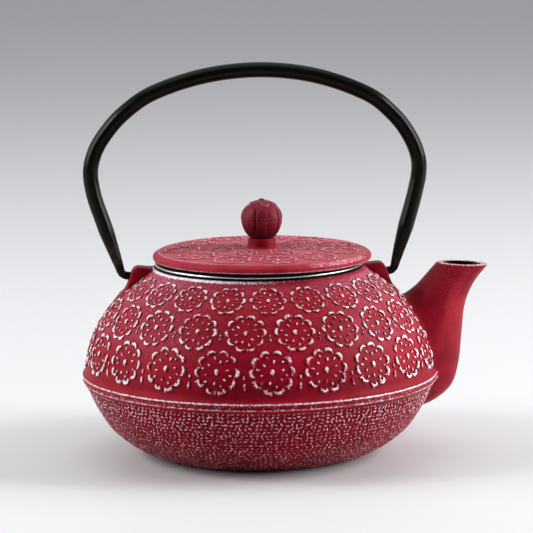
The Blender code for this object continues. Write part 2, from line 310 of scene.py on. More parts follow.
def loft(rings):
    """Points and faces over rings of equally many points, capped at both ends."""
    rings = np.array(rings, float)
    return rings.reshape(-1, 3), capped_faces(*rings.shape[:2])


def oval_between(inner, outer, half_width, count, keel=0.0):
    """A ring about the XZ plane, from the inner edge to the outer one, with a keel along the outer one."""
    inner, outer = np.array(inner, float), np.array(outer, float)
    turn = turns(count)
    power = np.where(np.cos(turn) > 0, 1.0 + keel, 1.0)
    run, side = (np.sign(value) * np.abs(value) ** power for value in (np.cos(turn), np.sin(turn)))
    flat = (inner + outer) / 2 + np.outer(run, (outer - inner) / 2)
    return np.stack([flat[:, 0], half_width * side, flat[:, 1]], -1)


def combine(obj, others, operation):
    for other in others:
        boolean = obj.modifiers.new(other.name, "BOOLEAN")
        boolean.operation = operation
        boolean.object = other
        boolean.solver = "MANIFOLD"


# ---------------- materials


class Shader:
    """The node tree of a material or a world, built by calls."""

    def __init__(self, owner, surface="Principled BSDF", space="Object"):
        owner.use_nodes = True
        self.tree = owner.node_tree
        self.surface = self.tree.nodes[surface]
        self.place = self.node("ShaderNodeTexCoord").outputs[space]

    def node(self, kind, inputs=None, **settings):
        made = self.tree.nodes.new(kind)
        for key, value in settings.items():
            setattr(made, key, value)
        for key, value in (inputs or {}).items():
            self.put(made.inputs[key], value)
        return made

    def put(self, socket, value):
        if isinstance(value, bpy.types.NodeSocket):
            self.tree.links.new(value, socket)
        elif socket.type == "RGBA" and len(value) == 3:
            socket.default_value = (*value, 1.0)
        else:
            socket.default_value = value

    def set(self, **inputs):
        for key, value in inputs.items():
            self.put(self.surface.inputs[key.replace("_", " ")], value)

    def noise(self, scale, detail=2.0, roughness=0.5, stretch=None):
        """Noise over the object's own space, with a scale per metre."""
        place = self.place
        if stretch:
            place = self.node("ShaderNodeMapping", {"Vector": place, "Scale": stretch}).outputs[0]
        inputs = {"Vector": place, "Scale": scale, "Detail": detail, "Roughness": roughness}
        return self.node("ShaderNodeTexNoise", inputs).outputs["Fac"]

    def mark(self, key):
        return self.node("ShaderNodeAttribute", attribute_name=key).outputs["Fac"]

    def plus(self, a, b):
        return self.node("ShaderNodeMath", {0: a, 1: b}, operation="ADD").outputs[0]

    def times(self, a, b, clamp=False):
        return self.node("ShaderNodeMath", {0: a, 1: b}, operation="MULTIPLY", use_clamp=clamp).outputs[0]

    def between(self, value, low, high, out_low=0.0, out_high=1.0, **settings):
        inputs = {"Value": value, "From Min": low, "From Max": high, "To Min": out_low, "To Max": out_high}
        return self.node("ShaderNodeMapRange", inputs, **settings).outputs["Result"]

    def spread(self, noise, low=0.0, high=1.0):
        """A noise's usual run, 0.3 to 0.7, as a run from low to high."""
        return self.between(noise, 0.3, 0.7, low, high)

    def mix(self, share, a, b):
        return self.node("ShaderNodeMix", {0: share, 6: a, 7: b}, data_type="RGBA").outputs[2]

    def raise_by(self, height, distance):
        """Bumps the surface by a height that stands for a distance in millimetres."""
        inputs = {"Height": height, "Distance": distance * MM, "Strength": 1.0}
        self.set(Normal=self.node("ShaderNodeBump", inputs).outputs["Normal"])


SILVER = (0.85, 0.81, 0.83)
ROSY_SILVER = (0.80, 0.58, 0.63)
LID_SILVER = (0.80, 0.60, 0.64)
DULLED_AND_SHADED = (0.78, 0.58, 0.63)  # how much of each channel is left on the duller silver: where the enamel is only partly rubbed off, and as painted shade on the front flowers
# The pink of dust on the enamel, also used as painted sheen where light glances off it.
DUST_AND_SHEEN = (0.52, 0.16, 0.23)
DEEP_RED = (0.215, 0.0006, 0.008)
LIGHT_RED = (0.34, 0.004, 0.021)
# The lid's reds are lighter and pinker than the pot's: painted sheen of the light glancing over the lid.
LID_SHEEN_DEEP_RED = (0.275, 0.004, 0.020)
LID_SHEEN_LIGHT_RED = (0.395, 0.028, 0.050)


def scaled(colour, share):
    """The colour times a share, or times one share for each channel."""
    return tuple(float(value) for value in np.multiply(colour, share))


def worn_red(name, deep, light, rubbed, patchy):
    """Matt red enamel over sand-cast iron: dusty and pinker with painted sheen, darkened by painted shade,
    and rubbed through to silver where the marks say so.
    """
    material = bpy.data.materials.new(name)
    shader = Shader(material)
    broad = shader.noise(28.0, 3.0)
    patch = shader.noise(170.0, 4.0, 0.6)
    fine = shader.noise(1500.0, 2.0, 0.6)
    tone = shader.plus(shader.times(broad, 0.5), shader.times(patch, 0.5))
    red = shader.mix(shader.between(tone, 0.36, 0.64), deep, light)
    # Dust, and painted sheen, as pink over the red where the marks put it.
    dust_and_sheen = shader.times(shader.between(fine, 0.42, 0.78, 0.0, 0.4), shader.mark("dust_and_sheen"), True)
    red = shader.mix(dust_and_sheen, red, DUST_AND_SHEEN)
    uneven = shader.times(shader.plus(shader.noise(900.0, 3.0, 0.6), -0.5), patchy)
    wear = shader.plus(shader.mark("wear"), uneven)
    silver = shader.between(wear, 0.50, 0.80)
    # The shade mark darkens the red: painted shade.
    shaded = shader.mix(shader.times(shader.mark("shade"), 0.75, True), red, scaled(deep, 0.28))
    # Duller silver where the wear is lower, which on the front flowers is painted shade.
    metal = shader.mix(shader.between(wear, 0.66, 1.02), scaled(rubbed, DULLED_AND_SHADED), rubbed)
    shader.set(Base_Color=shader.mix(silver, shaded, metal), Metallic=shader.times(silver, 0.2))
    shader.set(Roughness=shader.spread(fine, 0.46, 0.6), Specular_IOR_Level=0.075)
    shader.set(Sheen_Weight=0.16, Sheen_Roughness=0.35, Sheen_Tint=(1.0, 0.72, 0.78))
    shader.raise_by(shader.plus(shader.noise(1100.0, 3.0, 0.6), shader.times(broad, 0.6)), 0.12)
    return material


def black_enamel():
    """The thin matt black enamel inside the pot and under the lid."""
    material = bpy.data.materials.new("black_enamel")
    shader = Shader(material)
    fine = shader.noise(700.0, 3.0)
    black = shader.mix(shader.spread(fine), (0.003, 0.003, 0.003), (0.008, 0.0075, 0.0075))
    shader.set(Base_Color=black, Roughness=shader.spread(fine, 0.38, 0.55), Specular_IOR_Level=0.12)
    shader.raise_by(fine, 0.15)
    return material


def knob_enamel():
    """Darker burgundy enamel, rubbed lighter on the knob's high edges and in specks, and darkened by painted
    shade where the marks say so.
    """
    material = bpy.data.materials.new("burgundy_enamel")
    shader = Shader(material)
    broad = shader.noise(120.0, 3.0)
    fine = shader.noise(1800.0, 2.0, 0.6)
    red = shader.mix(shader.between(broad, 0.35, 0.65), (0.155, 0.0025, 0.013), (0.235, 0.008, 0.026))
    edges = shader.between(shader.plus(shader.mark("wear"), shader.spread(fine, -0.3, 0.3)), 0.45, 1.0)
    worn = shader.plus(edges, shader.between(fine, 0.56, 0.72, 0.0, 0.3))
    red = shader.mix(shader.times(worn, 0.55), red, (0.62, 0.30, 0.36))
    # Painted shade: a near black where the shade mark says so.
    red = shader.mix(shader.mark("shade"), red, (0.02, 0.001, 0.003))
    shader.set(Base_Color=red, Roughness=shader.spread(fine, 0.42, 0.55), Specular_IOR_Level=0.15)
    shader.raise_by(fine, 0.08)
    return material


def black_lacquer():
    """Satin black lacquer on the bail, worn to a warm brown by its feet."""
    material = bpy.data.materials.new("black_lacquer")
    shader = Shader(material)
    fine = shader.noise(900.0, 3.0)
    broad = shader.noise(90.0, 3.0)
    black = shader.mix(shader.spread(broad), (0.0012, 0.0012, 0.0014), (0.0035, 0.0034, 0.0035))
    foot = shader.times(shader.mark("wear"), shader.between(shader.noise(240.0, 4.0), 0.42, 0.62), True)
    shader.set(Base_Color=shader.mix(foot, black, (0.055, 0.028, 0.020)))
    shader.set(Roughness=shader.spread(fine, 0.2, 0.27), Specular_IOR_Level=0.1)
    shader.raise_by(fine, 0.04)
    return material


def steel(name, colour, low, high, stretch=None):
    """Stainless or plated steel with a fine grain. Its roughness runs from low to high."""
    material = bpy.data.materials.new(name)
    shader = Shader(material)
    grain = shader.noise(900.0, stretch=stretch)
    cloud = shader.noise(60.0)
    shader.set(Base_Color=shader.mix(shader.spread(cloud), scaled(colour, 0.86), colour))
    shader.set(Metallic=1.0, Roughness=shader.spread(grain, low, high))
    shader.raise_by(grain, 0.01)
    return material


def pale_floor():
    material = bpy.data.materials.new("pale_floor")
    shader = Shader(material)
    colour = (0.66, 0.66, 0.67)
    shader.set(Base_Color=shader.mix(shader.noise(1.5), scaled(colour, 0.985), colour))
    shader.set(Roughness=0.5, Specular_IOR_Level=0.15)
    return material


# ---------------- the casting: belly, spout and ears

ROUND = 360
BY_SPOUT = ((45, -30, 5), (100, 30, 90))  # corners of the box in which the spout's fillet is worked out
BY_EARS = ((-70, -12, 60), (70, 12, 90))
SEAT = (49.0, 87.0)  # inside this radius and above this height, the lip is black
RED_IN_MOUTH = (101.0, 83.0)  # past this x and above this height, the inside of the spout is red

shoulder_line, shoulder_places = evenly(curve_through(SHOULDER, 12), 1.1)
bowl_line = smooth(BOWL, 12, 1.3)


def belly_outline():
    """One line from the lip down to the base, through stretches that start where the last one ends."""
    stretches = [shoulder_line, smooth(FLANGE, 6, 0.3), bowl_line, curve_through(BASE_EDGE, 4)]
    return np.vstack([smooth(LIP, 6, 0.35), *(stretch[1:] for stretch in stretches)])


def cavity_outline():
    """The belly's inside, from above the mouth down to the floor."""
    side = smooth([*SHOULDER, *BOWL], 8, 2.0)
    inner = side - left_of(side) * WALL
    inner = inner[(inner[:, 0] > MOUTH_RADIUS + 0.8) & (inner[:, 1] > FLOOR_HEIGHT + 2.0)]
    floor_edge = inner[-1][0]
    neck = [(MOUTH_RADIUS, 92.0), (MOUTH_RADIUS, 84.0), (MOUTH_RADIUS + 0.3, 82.9)]
    floor = [(floor_edge - 3.5, FLOOR_HEIGHT + 0.4), (floor_edge - 6.5, FLOOR_HEIGHT)]
    return np.vstack([neck, inner, floor])


def spout_table(sections, steps):
    """The spout's edges and half width along it, smoothed through its sections."""
    return curve_through([(*inner, *outer, half_width) for inner, outer, half_width in sections], steps)


def spout_ring(row, less, sides, keel=0.0):
    """The ring at a row of that table, smaller by less all round."""
    inner, outer, half_width = row[:2], row[2:4], row[4]
    across = unit(outer - inner) * less
    return oval_between(inner + across, outer - across, half_width - less, sides, keel)


def spout_rings(count, sides):
    """Rings evenly along the spout's middle, and closer ones that round its mouth."""
    table = spout_table(SPOUT, 12)
    lengths = lengths_along((table[:, :2] + table[:, 2:4]) / 2)
    end = lengths[-1]
    places = [*np.linspace(0, end - 2.6, count), *(end - back for back in (1.6, 1.0, 0.55, 0.25, 0.0))]
    rings = []
    for place in places:
        row = np.array([np.interp(place, lengths, column) for column in table.T])
        rounding = 0.28 * (1 - ramp(end - place, 0, 0.55))
        keel = 0.32 * (1 - ramp(place / end, 0.75, 0.97))
        rings.append(spout_ring(row, rounding, sides, keel))
    return rings


def duct_rings(sides):
    rings = [oval_between(*DUCT_ROOT, sides)]
    rings += [spout_ring(row, SPOUT_WALL, sides) for row in spout_table(SPOUT[DUCT_START:], 5)]
    return [*rings, rings[-1] + np.array(PAST_MOUTH)]


def ear_rings(side):
    """The ear's outline at steps across it, eased at the edges of both faces."""
    outline = smooth([*EAR, EAR[0]], 5, 1.0)[:-1]
    inward = unit(outline.mean(axis=0) - outline)
    half = ((-1.0, 0.9), (-0.93, 0.35), (-0.82, 0.08), (-0.6, 0.0), (-0.2, 0.0))
    rings = []
    for share, ease in [*half, *((-share, ease) for share, ease in reversed(half))]:
        rings.append([(side * x, share * EAR_HALF_WIDTH, z) for x, z in outline + inward * ease])
    return rings


def hook_hole_rings(side):
    circle = [polar(HOOK_HOLE_RADIUS, angle) + (0, HINGE_HEIGHT) for angle in turns(32)]
    return [[(side * x, y, z) for y, z in circle] for x in HOOK_HOLE]


def distance_to(obj):
    """A function that says how far outside an object's surface a point is."""
    tree = BVHTree.FromPolygons(vertices(obj.data).tolist(), faces_of(obj.data))

    def distance(point):
        place, normal, _, gap = tree.find_nearest(Vector(point))
        return gap if (Vector(point) - place).dot(normal) > 0 else -gap

    return distance


def swell(obj, distance, radius, low, high):
    """How far to move each point out, so that two surfaces meet in a fillet as castings do."""
    points = vertices(obj.data)
    normals = np.array([tuple(normal.vector) for normal in obj.data.vertex_normals])
    grown = np.zeros(len(points))
    for i in np.flatnonzero(np.all((points > low) & (points < high), axis=1)):
        if distance(points[i]) < -radius:
            continue
        for _ in range(5):
            gap = distance(points[i] + normals[i] * grown[i]) - grown[i]
            grown[i] = (radius - min(max(gap, 0), radius)) ** 2 / (4 * radius)
    return normals * grown[:, None]


def inside_flowers(x, y, z):
    """1 where a point of the shoulder lies well inside a flower, and 0 between flowers."""
    turn = np.degrees(np.arctan2(y, x))
    down = np.interp(-z, -shoulder_line[:, 1], shoulder_places)
    around = np.radians(np.hypot(x, y))
    half_step = 180 / FLOWERS_IN_ROW
    covered = np.zeros(len(x))
    for middle, radius, _, first, _ in FLOWER_ROWS:
        off = np.mod(turn - first + half_step, 2 * half_step) - half_step
        covered = np.maximum(covered, 1 - ramp(np.hypot(off * around, down - middle) / radius, 0.75, 1.0))
    return covered * (z > SHOULDER[-1][1])


def casting_marks(points):
    """How worn, how dusty and how shaded the enamel is at each point of the casting. The dust also paints
    sheen, the wear also paints a highlight on the left of the lip, and the shade is painted shade, besides a
    darker band below the flange.
    """
    x, y, z = points.T
    r = np.hypot(x, y)
    beyond = r - np.interp(-z, -shoulder_line[:, 1], shoulder_line[:, 0])  # how far out of the shoulder
    on_ear = (np.abs(x) > 47) & (np.abs(y) < 8) & (z > 72) & (beyond > 0.4)
    on_spout = (x > 70) & (np.abs(y) < 19) & (beyond > 1)

    # The lip is worn to silver. It is wider and brighter on the left, a painted highlight of the light from
    # the left.
    left = ramp(-x, -26, 22)
    lip = ramp(z, 85.3, 86.3 - 0.3 * left) * (0.36 + 0.54 * left) * within(r, 46.0, 51.5) * ~on_ear
    upper = 0.9 * bump(z, UPPER_BEAD + 0.1, 0.55) * within(r, 81.8, 82.9)
    lower = 0.82 * bump(z, LOWER_BEAD, 0.35) * within(r, 81.8, 82.9)
    band = 0.42 * ramp(z, 33.9, 34.6) * (1 - ramp(z, 37.2, 38.0)) * within(r, 81.2, 82.9)
    (inner_x, inner_z), (outer_x, outer_z), _ = SPOUT[-1]
    mouth = inner_z + (x - inner_x) * (outer_z - inner_z) / (outer_x - inner_x)
    spout_lip = 0.66 * (1 - ramp(mouth - z, 0.0, 0.7)) * (x > 80) * (z > 80)

    # Dust on the shoulder, less inside the flowers and more towards the top. The extra pink towards the sides
    # is painted sheen of the side light, and on the spout the pink is painted light.
    dust_and_sheen = ramp(z, 52, 66) * (z < 86) * (1 - 0.5 * inside_flowers(x, y, z)) * (1 + 1.4 * ramp(z, 71, 84))
    dust_and_sheen = dust_and_sheen * (0.35 + 1.5 * ramp(np.abs(x), 15, 60)) * (1 + 0.6 * ramp(z, 76, 83)) * ~on_ear
    dust_and_sheen = np.where(on_spout, 0.2 + 0.3 * ramp(z, 64, 84), dust_and_sheen)

    # Painted shade in the groove between the beads, on the ears' faces and on the plain band above the
    # flange. Below the flange the enamel is simply made darker.
    groove = 0.45 * bump(z, BEAD_GROOVE, 0.6) * within(r, 81.5, 82.9)
    above_flange = 0.42 * bump(z, 43, 3.5)
    below_flange = 0.45 * (z < 33.6) * ~on_spout
    worn = np.maximum.reduce([lip, upper, lower, band, spout_lip])
    shade = np.maximum.reduce([groove, 0.4 * on_ear, above_flange, below_flange])
    return {"wear": worn, "dust_and_sheen": dust_and_sheen, "shade": shade}


def casting(red, black):
    """The pot as one casting, and functions that say how far a point is outside its spout and ears."""
    belly = solid("belly_solid", *lathe_solid(belly_outline(), ROUND), [red])
    spout = solid("spout_solid", *loft(spout_rings(54, 72)), [red])
    ears = [solid(f"ear_{side}", *loft(ear_rings(side)), [red]) for side in (-1, 1)]
    to_belly, to_spout = distance_to(belly), distance_to(spout)
    to_ears = [distance_to(ear) for ear in ears]
    grown = swell(belly, to_spout, SPOUT_FILLET, *BY_SPOUT)
    grown += sum(swell(belly, to_ear, EAR_FILLET, *BY_EARS) for to_ear in to_ears)
    moves = [(belly, grown), (spout, swell(spout, to_belly, SPOUT_FILLET, *BY_SPOUT))]
    moves += [(ear, swell(ear, to_belly, EAR_FILLET, *BY_EARS)) for ear in ears]
    for obj, offset in moves:
        move_points(obj, offset)

    cuts = [solid("cavity", *lathe_solid(cavity_outline(), 180), [black])]
    cuts.append(solid("duct", *loft(duct_rings(40)), [black]))
    cuts += [solid(f"hook_hole_{side}", *loft(hook_hole_rings(side)), [black]) for side in (-1, 1)]
    combine(belly, [spout, *ears], "UNION")
    combine(belly, cuts, "DIFFERENCE")
    to_cuts = [distance_to(cut) for cut in cuts]
    bpy.context.view_layer.update()
    mesh = bpy.data.meshes.new_from_object(belly.evaluated_get(bpy.context.evaluated_depsgraph_get()))
    points, faces = vertices(mesh), faces_of(mesh)
    for obj in (belly, spout, *ears, *cuts):
        bpy.data.objects.remove(obj)

    pot = make("pot_casting", points, faces, [red, black], casting_marks(points), radians(38))
    for polygon in pot.data.polygons:
        centre = polygon.center / MM
        seat = hypot(centre.x, centre.y) < SEAT[0] and centre.z > SEAT[1]
        inside = any(abs(distance(centre)) < 0.05 for distance in to_cuts)
        inside = inside and not (centre.x > RED_IN_MOUTH[0] and centre.z > RED_IN_MOUTH[1])
        polygon.material_index = int(seat or inside)
    return pot, [to_spout, *to_ears]


# ---------------- raised relief

DEEP = 0.3  # how far a ridge's foot lies below the surface
CLEARANCE = 0.6  # a ridge nearer than this to the spout or an ear is left out
COVERED_FROM = 45  # the spout and the ears lie this far out along X, or further
# Across a ridge: shares of its half width and of its height, where -1 is its foot
BROAD_RIDGE = ((-1.0, -1), (-0.82, 0.35), (-0.45, 0.86), (0.0, 1.0), (0.45, 0.86), (0.82, 0.35), (1.0, -1))
SLIM_RIDGE = ((-1.0, -1), (-0.6, 0.74), (0.0, 1.0), (0.6, 0.74), (1.0, -1))
FLOWER_RADIUS = 10.2  # the flower that the elements' sizes are for
BLOTTED = 0.45  # from here on, a petal is thinner and has blots beside it


class Turned:
    """A surface turned about Z, whose places are (turn, distance down its line, height off it)."""

    def __init__(self, line, places):
        self.places = places
        self.columns = (*line.T, *left_of(line).T)

    def radius(self, down):
        return np.interp(down, self.places, self.columns[0])

    def point(self, turn, down, height):
        r, z, out_r, out_z = (np.interp(down, self.places, column) for column in self.columns)
        return turned(r + out_r * height, turn, z + out_z * height)


upper_side = Turned(*evenly(np.vstack([shoulder_line, [(80.75, 40.8), (81.1, 39.6)]]), 1.1))
lower_side = Turned(*evenly(np.vstack([[(81.3, 33.6), (80.7, 33.0)], bowl_line]), 1.3))


def ridge(path, half_widths, heights, section):
    """A closed ridge along a flat path: its points as (right, up, out), their wear, and its faces."""
    path = np.asarray(path, float)
    rows, marks = [], []
    for point, side, width, height in zip(path, left_of(path), half_widths, heights):
        for share, rise in section:
            rows.append((*(point + side * share * width), -DEEP if rise < 0 else height * rise))
            reached = min(1.0, 0.35 + 0.65 * height / max(heights))
            marks.append(0.0 if rise < 0 else (0.25 + 0.75 * rise**2) * reached)
    return np.array(rows), np.array(marks), capped_faces(len(path), len(section))


def crescent(centre, direction, radius, opening, width, height):
    """A petal's outer edge: an arc that bulges towards direction, thin at its two ends."""
    turn = np.linspace(-opening, opening, 9)
    path = [centre + polar(radius, direction + a) for a in turn]
    swing = np.clip(np.cos(turn / opening * pi / 2), 0, 1)
    widths, heights = width / 2 * (0.22 + 0.78 * swing**0.8), height * (0.12 + 0.88 * swing**0.6)
    return ridge(path, widths, heights, BROAD_RIDGE)


def drop(centre, direction, length, width, height):
    """A seed-shaped dot, its blunt end outwards."""
    sizes = np.array([0.12, 0.6, 0.95, 0.9, 0.2])
    path = [centre + polar(length * place, direction) for place in (-0.5, -0.32, 0.0, 0.32, 0.5)]
    return ridge(path, width / 2 * sizes, height * (0.3 + 0.7 * sizes), SLIM_RIDGE)


def flower(radius, height, petals=10, blotted=0.0, thick=1.0, reach_round=0.0):
    """A flower in plan: scalloped petals, two rings of seeds and a bud, each with a change in its wear."""
    scale = radius / FLOWER_RADIUS
    curl = 2.1 * scale * 10 / petals
    elements = []
    for k in range(petals):
        angle = 2 * pi * k / petals + rng.normal(0, 0.02)
        low = max(0.0, -sin(angle)) * blotted
        width = 2.25 * scale * thick * (1 + 0.1 * low) * rng.uniform(0.82, 1.15)
        opening = radians(rng.uniform(74, 92) + reach_round)
        if low > BLOTTED:
            width *= 0.78
            for slip in (-0.14, 0.15):
                swing = angle + slip + rng.normal(0, 0.05)
                reach = radius - rng.uniform(0.5, 1.9) * scale
                size = (rng.uniform(1.7, 2.7), rng.uniform(1.3, 2.1))
                shape = drop(polar(reach, swing), angle + rng.normal(0, 0.5), *size, height * 0.9)
                elements.append((shape, rng.uniform(-0.16, 0.0)))
        centre = polar(radius - curl - 0.7 * scale, angle)
        shape = crescent(centre, angle + rng.normal(0, 0.07), curl, opening, width, height)
        elements.append((shape, rng.uniform(-0.12, 0.05)))
    for k in range(12):
        angle = 2 * pi * (k + 0.5) / 12 + rng.normal(0, 0.06)
        centre = polar((0.63 if k % 2 else 0.47) * radius, angle)
        size = (scale * rng.uniform(1.4, 2.1), scale * rng.uniform(1.2, 1.6))
        elements.append((drop(centre, angle, *size, height * 0.85), rng.uniform(-0.18, 0.06)))
    elements.append((drop(np.zeros(2), pi / 2, 3.0 * scale, 2.9 * scale, height), 0.06))
    return elements


class Relief:
    """Gathers ridges into one mesh, leaving out those that the spout or an ear covers."""

    def __init__(self, covers=()):
        self.points, self.marks, self.faces = [], [], []
        self.count = 0
        self.covers = covers

    def add(self, points, marks, faces):
        middle = points.mean(axis=0)
        if abs(middle[0]) > COVERED_FROM and any(cover(middle) < CLEARANCE for cover in self.covers):
            return
        self.points.append(points)
        self.marks.append(marks)
        self.faces += [[k + self.count for k in face] for face in faces]
        self.count += len(points)

    def obj(self, name, material):
        marks = {"wear": np.concatenate(self.marks)}
        return make(name, np.concatenate(self.points), self.faces, [material], marks, None)


def shoulder_relief(red, covers):
    """Rows of flowers round the shoulder, with dashes between them below."""
    relief = Relief(covers)
    for (down, radius, height, first, blotted), dashes in zip(FLOWER_ROWS, DASHES):
        for k in range(FLOWERS_IN_ROW):
            turn = radians(first + 360 * k / FLOWERS_IN_ROW)
            # More silver on the flowers towards the sides and less on the front ones: painted light of the
            # side lamps on the worn petals.
            rubbed = 0.89 + 0.19 * float(ramp(abs(cos(turn)), 0.25, 0.85))
            lean = rng.normal(0, 0.06)
            for (points, marks, faces), extra in flower(radius, height, blotted=blotted):
                u = points[:, 0] * cos(lean) - points[:, 1] * sin(lean)
                level = down - points[:, 0] * sin(lean) - points[:, 1] * cos(lean)
                spots = upper_side.point(turn + u / upper_side.radius(level), level, points[:, 2])
                relief.add(spots, marks * (rubbed + extra), faces)
            between = turn + pi / FLOWERS_IN_ROW
            for lower, length, width in dashes:
                slant = pi / 2 + rng.normal(0, 0.12)
                points, marks, faces = drop((rng.normal(0, 0.15), 0), slant, length, width, height * 0.8)
                around = between + points[:, 0] / upper_side.radius(down)
                spots = upper_side.point(around, down + lower - points[:, 1], points[:, 2])
                relief.add(spots, marks * rng.uniform(0.85, 1.0) * rubbed, faces)
    return relief.obj("flower_relief", red)


GRAIN_ROW = 1.95
GRAIN_STEP = 2.25
GRAIN_HEIGHT = 0.38
GRAIN_DEEP = 0.2
GRAIN_CLEARANCE = 1.2


def bowl_relief(red, to_spout):
    """The dense grain of short worms below the flange, made all at once as one array."""
    rows, downs = [], []
    end = lower_side.places[-1]
    for down in np.arange(1.3, end - 0.5, GRAIN_ROW):
        count = int(2 * pi * lower_side.radius(down) / GRAIN_STEP)
        rows.append((np.arange(count) + rng.uniform(-0.2, 0.2, count) + rng.uniform(0, 1)) * 2 * pi / count)
        downs.append(down + rng.uniform(-0.4, 0.4, count))
    turn, down = np.concatenate(rows), np.concatenate(downs)
    spots = lower_side.point(turn, down, 0.0)
    shown = [spot[0] <= COVERED_FROM or to_spout(spot) > GRAIN_CLEARANCE for spot in spots]
    turn, down = turn[shown], down[shown]
    number = len(turn)
    near_flange = 1 - ramp(down, 4.0, 16.0)
    length = rng.uniform(0.5, 0.98, number) * (1 + 0.1 * near_flange) * np.where(down < 3.0, 0.55, 1.0)
    width = rng.uniform(0.32, 0.42, number) * (1 + 0.25 * near_flange)
    slant = rng.uniform(0, pi, number)
    curl = rng.normal(0, 0.45, number)

    # Each worm is a grid: along it are its steps, and across it are the corners of its section.
    steps = np.array([-1.0, -0.72, 0.0, 0.72, 1.0])
    sizes = np.array([0.25, 0.85, 1.0, 0.85, 0.25])[:, None]
    across, rise = np.array([(-1.0, -1.0), (-0.5, 1.0), (0.5, 1.0), (1.0, -1.0)]).T
    turn, down, near_flange = turn[:, None, None], down[:, None, None], near_flange[:, None, None]
    length, width = length[:, None, None], width[:, None, None]
    heading = (slant[:, None] + curl[:, None] * steps)[..., None]
    side = across * width * sizes
    u = length * steps[:, None] * np.cos(heading) - np.sin(heading) * side
    v = length * steps[:, None] * np.sin(heading) + np.cos(heading) * side
    tall = GRAIN_HEIGHT * (0.4 + 0.6 * sizes) * (1 + 0.3 * near_flange)
    level = np.clip(down - v, 0.1, end - 0.1)
    around = turn + u / lower_side.radius(level)
    points = lower_side.point(around, level, np.where(rise < 0, -GRAIN_DEEP, tall))
    strength = rng.uniform(0.57, 0.92, number)[:, None, None] * (1 - 0.12 * ramp(down, 18, 44))
    marks = np.broadcast_to(np.where(rise < 0, 0.0, strength + 0.1 * near_flange), u.shape)
    faces = copied_faces(capped_faces(5, 4), number, 5 * 4)
    return make("bowl_grain", points.reshape(-1, 3), faces, [red], {"wear": marks}, None)


# ---------------- the lid and its knob


def dome_height(r):
    fall = LID_CENTRE_HEIGHT - LID_CREASE_HEIGHT
    return LID_CENTRE_HEIGHT - fall * (np.asarray(r) / LID_CREASE_RADIUS) ** 2


def lid_outline():
    collar = [(SCREW_HOLE_RADIUS, COLLAR_TOP), (5.9, COLLAR_TOP), (6.3, 99.75), (COLLAR_RADIUS, 99.4)]
    collar += [(COLLAR_RADIUS, 97.2), (6.7, 96.4), (7.2, 95.85)]
    top = [(r, float(dome_height(r))) for r in (8.2, *np.arange(10.0, 47.0, 1.5))]
    crease = [(47.2, 94.28), (47.7, 94.27), (48.1, 94.17)]
    under = [(49.0, 90.15), (46.0, 89.9), (43.0, LID_BOTTOM), (LID_RING_RADIUS + 0.4, LID_BOTTOM)]
    inner = LID_RING_RADIUS - LID_THICKNESS
    foot = LID_BOTTOM - LID_RING_DEPTH
    ceiling = LID_BOTTOM + LID_HOLLOW
    ring = [(LID_RING_RADIUS, LID_BOTTOM - 0.4), (LID_RING_RADIUS, foot + 0.5), (LID_RING_RADIUS - 0.5, foot)]
    ring += [(inner + 0.5, foot), (inner, foot + 0.5), (inner, ceiling - 0.8), (inner - 0.8, ceiling)]
    rise = (SCREW_HOLE_RADIUS - ring[-1][0], LID_CENTRE_HEIGHT - LID_THICKNESS - ceiling)
    hollow = [np.add(ring[-1], np.multiply(rise, (t, 1 - (1 - t) ** 2))) for t in np.linspace(0, 1, 8)[1:]]
    return [*collar, *top, *crease, *curve_through(LID_SIDE, 5), *under, *ring, *hollow]


def lid(red, black, collar_shade_red):
    points, faces = lathe(lid_outline(), ROUND, closed=True)
    x, y, z = points.T
    r = np.hypot(x, y)
    # Silver along the crease, strongest on the left: worn enamel with a painted highlight of the light from
    # the left.
    crease = bump(r, LID_CREASE_RADIUS, 0.4) * (z > 93.9) * (0.48 + 0.35 * ramp(-x, 5, 40))
    right_front = ramp(x, 4, 24) * ramp(-y, 8, 24)
    speckle = 0.62 * ramp(r, 47.6, 48.6) * (z > 92.6) * right_front
    lower = 0.76 * bump(z, 90.9, 0.4) * (r > 49.6)
    worn = np.maximum.reduce([crease, speckle, lower])
    # Dust over the lid top, which also stands for painted sheen of light glancing over it.
    dust_and_sheen = 0.6 * (z > 93.5) * within(r, 8, 48.5)
    # Painted shade round the collar, under the knob.
    shade = 0.3 * (1 - ramp(r, 7.0, 9.5)) * (z > 95)
    marks = {"wear": worn, "dust_and_sheen": dust_and_sheen, "shade": shade}
    obj = make("lid_casting", points, faces, [red, black, collar_shade_red], marks, radians(38))
    for polygon in obj.data.polygons:
        centre = polygon.center / MM
        reach = hypot(centre.x, centre.y)
        if centre.z < 90.6 or (centre.z < 94.0 and reach < 46.0):
            polygon.material_index = 1
        # The collar takes the pot's deeper red: painted shade under the knob.
        elif reach < COLLAR_RADIUS + 0.6:
            polygon.material_index = 2
    move_points(obj, LID_AXIS)
    return obj


def on_lid(flat, height):
    """Places on the lid's dome, at a height off it."""
    return np.column_stack([flat, dome_height(np.hypot(*flat.T)) + height]) + LID_AXIS


def lid_relief(red):
    """Two rings of flowers, their tops turned away from the knob, and small drops between them."""
    relief = Relief()
    for count, first, reach, radius, height, petals, thick in LID_FLOWER_RINGS:
        for turn in first + turns(count):
            right = np.array([-sin(turn), cos(turn)])
            out = np.array([cos(turn), sin(turn)])
            for (points, marks, faces), extra in flower(radius, height, petals, thick=thick, reach_round=14):
                flat = (reach + points[:, 1:2]) * out + points[:, :1] * right
                relief.add(on_lid(flat, points[:, 2]), marks * (0.95 + extra), faces)
    for _ in range(260):
        turn = rng.uniform(0, 2 * pi)
        place = polar(rng.choice([rng.uniform(9.5, 13.0), rng.uniform(25.5, 28.5)]), turn)
        shape = (rng.uniform(0, pi), rng.uniform(0.8, 1.5), rng.uniform(0.6, 0.9), 0.3)
        points, marks, faces = drop(place, *shape)
        relief.add(on_lid(points[:, :2], points[:, 2]), marks * rng.uniform(0.6, 0.95), faces)
    return relief.obj("lid_relief", red)


LOBES = 5
FIRST_GROOVE = radians(-112.5)


